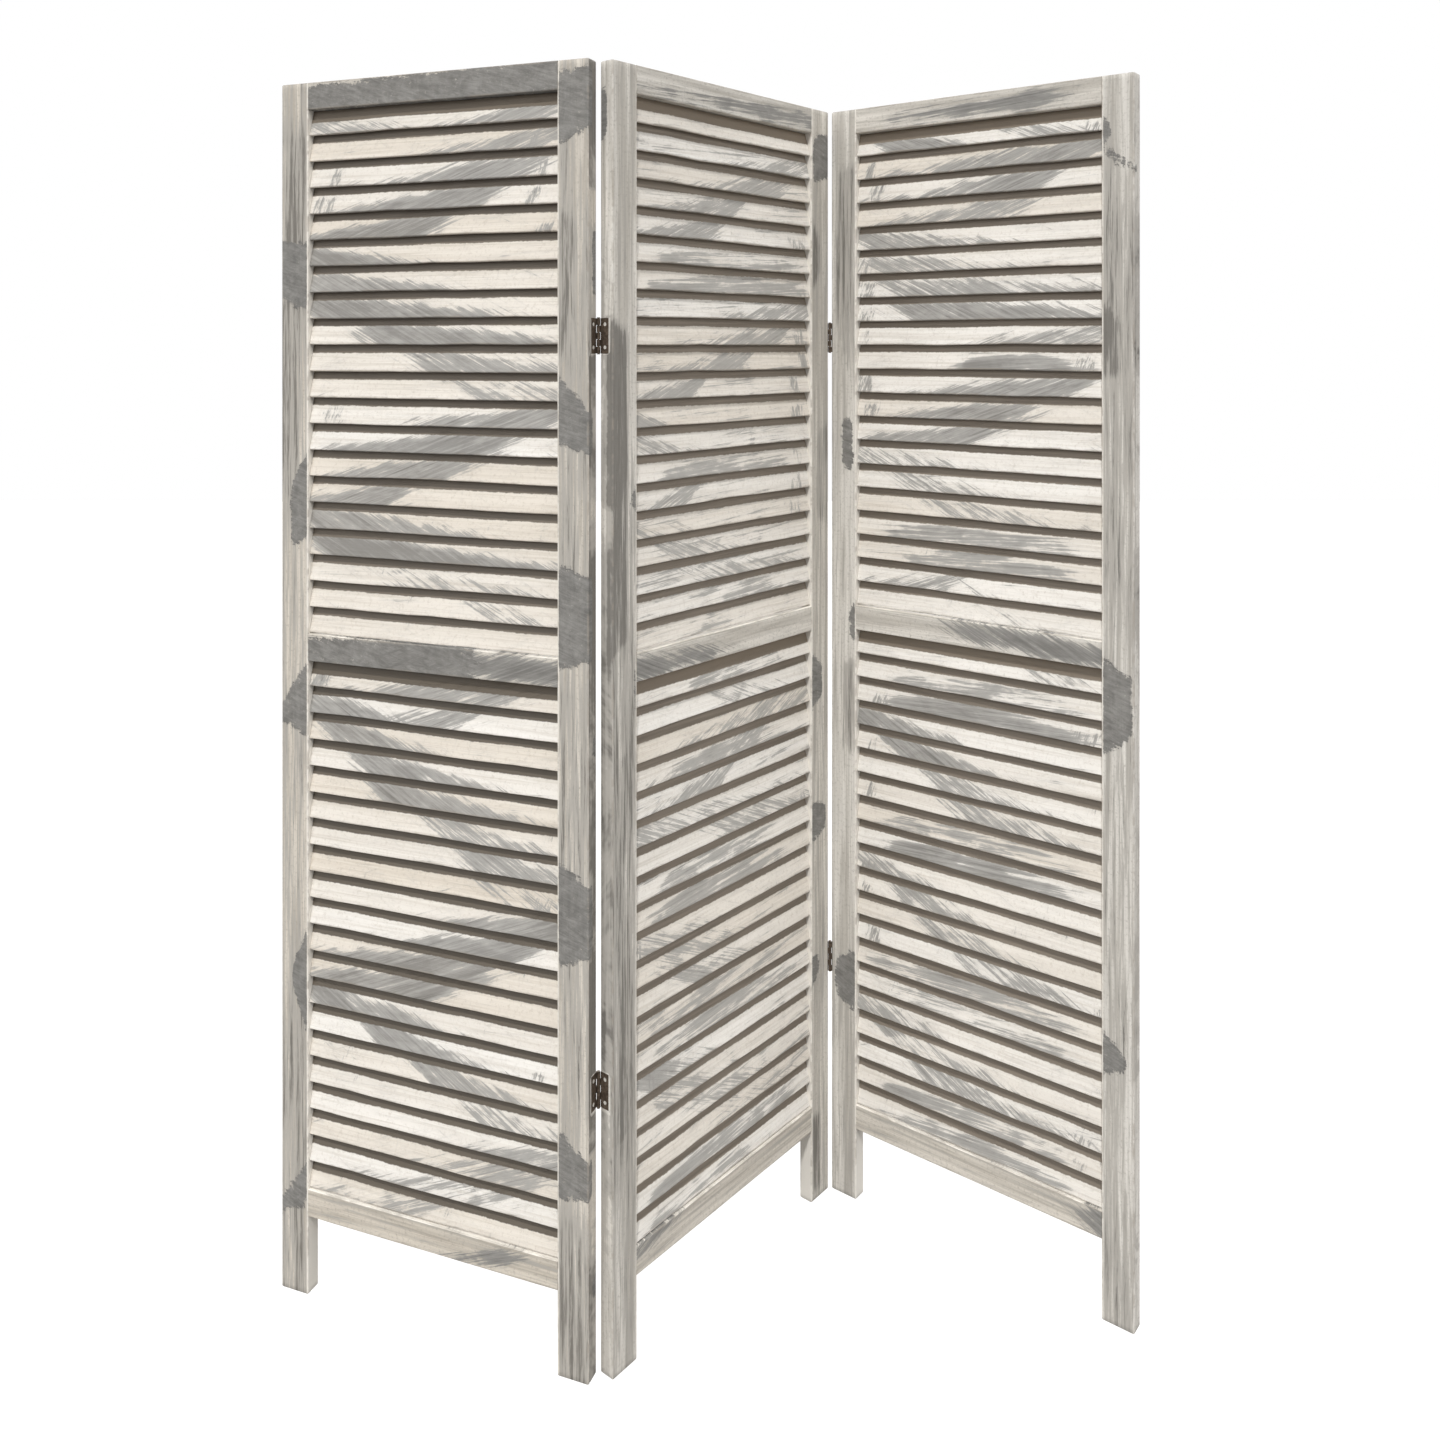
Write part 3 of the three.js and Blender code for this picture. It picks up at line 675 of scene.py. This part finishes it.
# The point attributes that the painted wood reads, besides "edge" and "tone"
PAINT_ATTRIBUTES = (
    "fall", "rise", "level", "dab", "thin", "solid", "streaky", "inward", "gloom", "dingy", "pale")


def smoothstep(value, low, high):
    t = np.clip((value - low) / (high - low), 0, 1)
    return t * t * (3 - 2 * t)


def blend(start, end, t):
    return start + (end - start) * t


def slat_cover(panel_name, bank, number, t, up):
    """Each kind's cover at t across the opening and up the part of the slat in sight, both 0 to 1."""
    key = panel_name, bank
    cover = {kind: np.zeros_like(t) for kind in SLAT_BRUSHES}
    for kind, first, last, start, end in SWEEPS[key]:
        if not first <= number <= last:
            continue
        share = (number - first) / max(last - first, 1)
        left, right, load = (blend(p, q, share) for p, q in zip(start, end))
        left, right = left + rng.normal(0, START_SPREAD), right + rng.normal(0, END_SPREAD)
        load *= BOLDNESS[panel_name] * rng.uniform(*LOADS)
        lean = {"fall": LEAN, "rise": -LEAN, "level": 0}[kind]
        u = (t - left + lean * up) / (right - left)
        u = 1 - u if kind == "rise" else u
        cover[kind] = np.maximum(cover[kind], stroke(kind, u, up, load))
    cover["level"] = np.maximum(cover["level"], FAINT_STREAKS[panel_name] * rng.uniform(*FAINTNESS))
    for place, numbers in DABS[key]:
        if number in numbers:
            cover["dab"] = np.maximum(cover["dab"], dab(t, up, place))
    return cover


def stroke(kind, u, up, load):
    """One brush stroke: full at its blunt end, u = 0, and running out in loose lines past u = 1."""
    if kind == "level":
        height = 0.95 * np.sqrt(np.clip(4 * u * (1 - u), 0, 1))
    else:
        height = np.clip(1.22 - 1.22 * np.clip(u, 0, 1) ** 1.5, 0, 1.1)
    within = smoothstep(u, -0.04, 0.09) * smoothstep(-u, -1.08, -0.88)
    body = load * (1 - 0.22 * np.clip(u, 0, 1) ** 2) * smoothstep(height - up, -0.30, 0.22) * within
    beyond = smoothstep(u, -0.16, 0.02) * smoothstep(-u, -1.40, -1.0)
    stray = STRAY * load * smoothstep(height + 0.4 - up, -0.2, 0.3) * beyond
    return np.maximum(body, stray)


def dab(t, up, place):
    """A short upright mark near a stile."""
    place, width = place + rng.normal(0, DAB_SPREAD), rng.uniform(*DAB_WIDTHS)
    reach = smoothstep(rng.uniform(*DAB_HEIGHTS) - up, -0.25, 0.2)
    return rng.uniform(*DAB_LOADS) * smoothstep(-np.abs(t - place) / width, -1.3, -0.4) * reach


def of_kind(kind, patches):
    return [patch for name, *patch in patches if name == kind]


def patch_cover(patches, t, depth):
    """The patches' cover at t across and at a depth below the top."""
    cover = np.zeros_like(t)
    for upper_left, upper_right, lower_left, lower_right, left, right, load in patches:
        u = np.clip((t - left) / (right - left), 0, 1)
        upper, lower = blend(upper_left, upper_right, u), blend(lower_left, lower_right, u)
        inside = np.minimum(depth - upper, lower - depth)
        beside = np.minimum(t - left if left > 0 else 1, right - t if right < 1 else 1)
        here = smoothstep(inside, *PATCH_ENDS) * smoothstep(beside, *PATCH_SIDES)
        cover = np.maximum(cover, load * here)
    return cover


# ---- Panels and their timber ----

class Panel:
    """Where a panel stands, and its heights, worked out from the boxes of its CAD nodes."""

    def __init__(self, name):
        self.name = name
        left, right = (self.middle(f"{name}_{side}_stile") for side in ("left", "right"))
        along = (right - left).normalized()
        back = Vector((-along.y, along.x, 0))
        corner = left - along * STILE_WIDTH / 2 - back * THICKNESS / 2
        turn = math.atan2(along.y, along.x)
        self.matrix = Matrix.Translation(corner) @ Matrix.Rotation(turn, 4, "Z")
        self.width = (right - left).length + STILE_WIDTH
        self.opening_width = self.width - 2 * STILE_WIDTH
        self.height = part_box(f"{name}_left_stile")[1].z
        self.rails = {rail: self.heights(f"{name}_{rail}") for rail in RAILS}
        self.openings = {
            "upper_louvres": (self.rails["mid_rail"][1], self.rails["top_rail"][0]),
            "lower_louvres": (self.rails["bottom_rail"][1], self.rails["mid_rail"][0]),
        }

    @staticmethod
    def middle(node):
        low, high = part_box(node)
        centre = (low + high) / 2
        return Vector((centre.x, centre.y, 0))

    @staticmethod
    def heights(node):
        low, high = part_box(node)
        return low.z, high.z

    def across(self, points):
        """How far across the opening each point is, as the side that it faces sees it: the back is
        painted like the front, turned round."""
        x = np.where(on_back(points), self.width - points[:, 0], points[:, 0])
        return (x - STILE_WIDTH) / self.opening_width


def on_back(points):
    """Whether each point is painted as part of the panel's back."""
    return points[:, 1] > THICKNESS * 0.6


def rounded_outline(u0, u1, v0, v1, radius):
    """Points round a rectangle with small round corners, and 1 for the points on its corners. Its
    straight sides are divided about every GRID."""
    corners = ((u1, v0, -90), (u1, v1, 0), (u0, v1, 90), (u0, v0, 180))

    def on_corner(index, degrees):
        u, v, start = corners[index % 4]
        centre_u = u - radius if u == u1 else u + radius
        centre_v = v - radius if v == v1 else v + radius
        angle = math.radians(start + degrees)
        return centre_u + radius * math.cos(angle), centre_v + radius * math.sin(angle)

    points, edge = [], []
    for index in range(4):
        points += [on_corner(index, 90 * step / CORNER_STEPS) for step in range(CORNER_STEPS + 1)]
        last, first = np.array(points[-1]), np.array(on_corner(index + 1, 0))
        length = np.linalg.norm(first - last)
        margin = min(SIDE_MARGIN, length / 4)
        inner = max(2, round((length - 2 * margin) / GRID) + 1)
        distances = np.linspace(margin, length - margin, inner)
        points += [tuple(last + (first - last) * distance / length) for distance in distances]
        edge += [1.0] * (CORNER_STEPS + 1) + [0.0] * inner
    return np.array(points), np.array(edge)


def loft(rings):
    """A closed mesh through rings of points, shaped (rings, points, 3)."""
    count, size = rings.shape[:2]
    faces = []
    for ring in range(count - 1):
        for point in range(size):
            after = (point + 1) % size
            a, b = ring * size + point, ring * size + after
            faces.append((a, b, b + size, a + size))
    faces.append(tuple(reversed(range(size))))
    faces.append(tuple(range((count - 1) * size, count * size)))
    return rings.reshape(-1, 3), faces


def loft_along_x(x, y, z):
    """The mesh through a ring at each x, from the rings' y and z."""
    return loft(np.stack([np.broadcast_to(x[:, None], z.shape), y, z], axis=2))


def mesh_object(name, points, faces, attributes, material):
    mesh = bpy.data.meshes.new(name)
    mesh.from_pydata([tuple(p) for p in points], [], faces)
    for key, values in attributes.items():
        layer = mesh.attributes.new(key, "FLOAT", "POINT")
        layer.data.foreach_set("value", np.asarray(values, np.float32))
    mesh.materials.append(material)
    mesh.shade_smooth()
    mesh.set_sharp_from_angle(angle=SHARP_ANGLE)
    piece = bpy.data.objects.new(name, mesh)
    bpy.context.scene.collection.objects.link(piece)
    return piece


def settle(piece, panel, node):
    piece.matrix_world = panel.matrix
    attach(piece, panel.name)
    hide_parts(node)


def wavy(count, size):
    """A random curve of count values, in straight stretches between seven knots, spread by size."""
    knots = rng.normal(0, size, 7)
    return np.interp(np.linspace(0, 6, count), np.arange(7), knots)


def attributes_for(points, edge, **given):
    """The point attributes that the painted wood reads. Those that aren't given are zero."""
    size = len(points)
    attributes = {name: np.zeros(size) for name in PAINT_ATTRIBUTES}
    attributes["edge"] = edge
    attributes["tone"] = np.full(size, rng.uniform(0, 0.5) ** 1.2)
    attributes.update(given)
    return attributes


def slat(panel, bank, index, material):
    """A slat, held straight at its ends and slightly warped between them. An opening's top slat is
    narrower, because it has to fit below the rail."""
    bottom, top = panel.openings[bank]
    pitch = (top - bottom) / SLATS_PER_OPENING
    is_top = index == 0
    room = (pitch - 2 * GAP) / math.cos(SLAT_TILT) - SLAT_THICKNESS * math.tan(SLAT_TILT)
    width = room if is_top else SLAT_WIDTH
    outline, corner = rounded_outline(0, width, 0, SLAT_THICKNESS, SLAT_EDGE_RADIUS)
    foot = top - (index + 1) * pitch + GAP
    count = round(panel.opening_width / GRID) + 1
    x = np.linspace(STILE_WIDTH + GAP, panel.width - STILE_WIDTH - GAP, count)
    points, faces = loft_along_x(x, *warped(x, outline, corner, foot))

    back = outline[:, 1] > SLAT_THICKNESS / 2
    inward = np.tile(np.where(back, width - outline[:, 0], outline[:, 0]), count)
    up = np.clip(inward / SEEN_HEIGHT, 0, 1.1)
    cover = slat_cover(panel.name, bank, index + 1, panel.across(points), up)
    # Painted shade: the darkened bare zone reaches further down lower slats and the top slat
    lowness = np.clip((LONGER_SHADE_BELOW - points[:, 2]) / LONGER_SHADE_BELOW, 0, 1)
    rail_shadow_mask = np.tile(smoothstep(outline[:, 0], *TOP_SLAT_RAIL_SHADOW) * ~back, count)
    attributes = attributes_for(
        points,
        np.tile(corner, count),
        inward=inward + TOP_SLAT_LONGER_SHADE_BY * is_top + LONGER_SHADE_BY * lowness,
        gloom=rail_shadow_mask * is_top,
        thin=np.full(len(points), THINNESS[panel.name]),
        dingy=np.full(len(points), SLAT_GAP_SHADE_DEPTH[panel.name, bank]),
        **cover)
    attributes["tone"] += CREAMINESS[panel.name] + rng.normal(0, TONE_SPREAD)
    piece = mesh_object(f"{panel.name}_{bank}_slat_{index + 1:02d}", points, faces, attributes, material)
    settle(piece, panel, f"{panel.name}_{bank}")


def warped(x, outline, corner, foot):
    """The y and z of a slat's rings at x, with its lower edge at the height foot."""
    count = len(x)
    end = np.minimum(x - x[0], x[-1] - x) / (x[-1] - x[0]) * 2
    held = smoothstep(end, 0, 0.4)
    tilt = SLAT_TILT + math.radians(rng.normal(0, TILT_SPREAD)) + wavy(count, TWIST) * held
    lift = wavy(count, SAG) * held + abs(rng.normal(0, LIFT_SPREAD))
    up, through = outline[:, 0][None, :], outline[:, 1][None, :]
    sine, cosine = np.sin(tilt)[:, None], np.cos(tilt)[:, None]
    y = SLAT_INSET + sine * up + cosine * through
    z = cosine * up - sine * (through - SLAT_THICKNESS) + foot + np.maximum(lift, 0)[:, None]
    return y, z + np.abs(rng.normal(0, ARRIS_FUZZ, z.shape)) * corner[None, :]


def rail(panel, name, material):
    bottom, top = panel.rails[name]
    outline, corner = rounded_outline(0, THICKNESS, bottom, top, EDGE_RADIUS)
    count = round(panel.opening_width / GRID) + 1
    x = np.linspace(STILE_WIDTH + GAP / 2, panel.width - STILE_WIDTH - GAP / 2, count)
    y = outline[:, 0][None, :] + wavy(count, RAIL_WAVE)[:, None]
    z = outline[:, 1][None, :] + np.zeros((count, 1))
    points, faces = loft_along_x(x, y, z)
    t, depth = panel.across(points), top - points[:, 2]
    patches = RAIL_PATCHES[panel.name, name]
    kinds = sorted({kind for kind, *_ in patches})
    cover = {kind: patch_cover(of_kind(kind, patches), t, depth) for kind in kinds}
    ledge = (points[:, 2] > top - EDGE_RADIUS) & (name != "top_rail")
    attributes = attributes_for(
        points, np.tile(corner, count), streaky=np.full(len(points), RAIL_STREAKS[name]), pale=1.0 * ledge,
        **cover)
    attributes["tone"] += FRAME_CREAMINESS[panel.name] + RAIL_CREAMINESS[name]
    piece = mesh_object(f"{panel.name}_{name}_painted", points, faces, attributes, material)
    settle(piece, panel, f"{panel.name}_{name}")


def stile_levels(height):
    """Heights of a stile's rings: its two ends and an even grid between them."""
    inner = np.linspace(END_MARGIN, height - END_MARGIN, round(height / GRID))
    return np.concatenate([[0], inner, [height]])


def stile(panel, side, pin_face, material):
    """A stile, with a recess for each hinge leaf where it has a pin_face."""
    x0 = 0 if side == "left" else panel.width - STILE_WIDTH
    x1 = x0 + STILE_WIDTH
    outline, corner = rounded_outline(x0, x1, 0, THICKNESS, EDGE_RADIUS)
    levels = stile_levels(panel.height)
    count = len(levels)
    xy = np.broadcast_to(outline[None], (count, *outline.shape)).copy()
    xy[0] = xy[-1] = drawn_in(outline, EDGE_RADIUS)
    xy[:, :, 0] += wavy(count, STILE_WAVE)[:, None]
    z = np.broadcast_to(levels[:, None, None], (count, len(outline), 1))
    points, faces = loft(np.concatenate([xy, z], axis=2))
    edge = np.tile(corner, count)
    edge[:len(outline)] = edge[-len(outline):] = 1
    depth = panel.height - points[:, 2]
    t = (points[:, 0] - x0) / STILE_WIDTH
    other = {"left": "right", "right": "left"}[side]
    cover = {
        kind: np.where(
            on_back(points),
            patch_cover(of_kind(kind, STILE_PATCHES[panel.name, other]), 1 - t, depth),
            patch_cover(of_kind(kind, STILE_PATCHES[panel.name, side]), t, depth))
        for kind in ("solid", "along")}
    streaky = np.maximum(np.interp(depth, *zip(*STREAKS[panel.name, side])), cover["along"])
    # Painted shade: the outer side face is darkened with extra streaks
    outer = t < 0.001 if side == "left" else t > 0.999
    streaky = np.where(outer, np.maximum(streaky, SIDE_STREAKS_AND_SHADE.get((panel.name, side), 0)), streaky)
    inner = t > 0.97 if side == "left" else t < 0.03
    attributes = attributes_for(
        points, edge, solid=cover["solid"] * ~inner, streaky=streaky * ~inner, pale=1.0 * inner)
    attributes["tone"] += FRAME_CREAMINESS[panel.name]
    piece = mesh_object(f"{panel.name}_{side}_stile_painted", points, faces, attributes, material)
    if pin_face:
        cut_recesses(piece, side, pin_face, x0, x1)
    settle(piece, panel, f"{panel.name}_{side}_stile")


def drawn_in(outline, inset):
    """The outline made smaller by inset all round, for a slightly eased end."""
    low, high = outline.min(0), outline.max(0)
    middle, size = (low + high) / 2, high - low
    return middle + (outline - middle) * (size - 2 * inset) / size


def cut_recesses(piece, side, pin_face, x0, x1):
    """Cuts the hinge recesses out of the stile's outer edge, open towards the pins."""
    low_x, high_x = (x0 - SPARE, x0 + RECESS_DEPTH) if side == "left" else (x1 - RECESS_DEPTH, x1 + SPARE)
    reach = LEAF_WIDTH + GAP
    low_y, high_y = (-SPARE, reach) if pin_face == "front" else (THICKNESS - reach, THICKNESS + SPARE)
    half = HINGE_HEIGHT / 2 + GAP
    for z in HINGE_LEVELS:
        cutter = box_object("cutter", (low_x, low_y, z - half), (high_x, high_y, z + half))
        cut = piece.modifiers.new("recess", "BOOLEAN")
        cut.operation = "DIFFERENCE"
        cut.object = cutter
        cut.solver = "EXACT"
        apply_modifiers(piece)
        bpy.data.objects.remove(cutter)


def box_object(name, low, high):
    mesh = bpy.data.meshes.new(name)
    build = bmesh.new()
    bmesh.ops.create_cube(build, size=1.0)
    size, centre = Vector(high) - Vector(low), (Vector(high) + Vector(low)) / 2
    bmesh.ops.scale(build, vec=size, verts=build.verts)
    bmesh.ops.translate(build, vec=centre, verts=build.verts)
    build.to_mesh(mesh)
    build.free()
    piece = bpy.data.objects.new(name, mesh)
    bpy.context.scene.collection.objects.link(piece)
    return piece


def apply_modifiers(piece):
    graph = bpy.context.evaluated_depsgraph_get()
    mesh = bpy.data.meshes.new_from_object(piece.evaluated_get(graph))
    piece.modifiers.clear()
    piece.data = mesh


add_camera()
add_light()
add_floor()

view = bpy.context.scene.view_settings
view.view_transform = "Standard"
view.look = "None"

stile_paint = painted_wood(
    "frame_paint_upright", UPRIGHT_GRAIN, FRAME_BASE, FRAME_GREYS, (), math.radians(90))
rail_paint = painted_wood(
    "frame_paint_level", LEVEL_GRAIN, FRAME_BASE, FRAME_GREYS, RAIL_BRUSHES, 0.0)
slat_paint = painted_wood("slat_paint", SLAT_GRAIN, SLAT_BASE, SLAT_GREYS, SLAT_BRUSHES)

for panel in map(Panel, PANELS):
    for side in ("left", "right"):
        stile(panel, side, PIN_FACES.get((panel.name, side)), stile_paint)
    for name in RAILS:
        rail(panel, name, rail_paint)
    for bank in panel.openings:
        for index in range(SLATS_PER_OPENING):
            slat(panel, bank, index, slat_paint)

bronze = mottled_metal(
    "dark_bronze", 0.40, ((260, 260, 260), 4, 0.6), BRONZES, (0.45, 0.65), 0.6, ((1500, 1500, 1500), 2, 0.5))
screw_metal = mottled_metal(
    "screw_metal", 0.2, ((900, 900, 900), 3, 0.6), SCREW_METALS, (0.28, 0.5), 0.5)
for node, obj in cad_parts.items():
    if "hinge" in node:
        for material_slot in obj.material_slots:
            material_slot.material = screw_metal if node.endswith("screw") else bronze
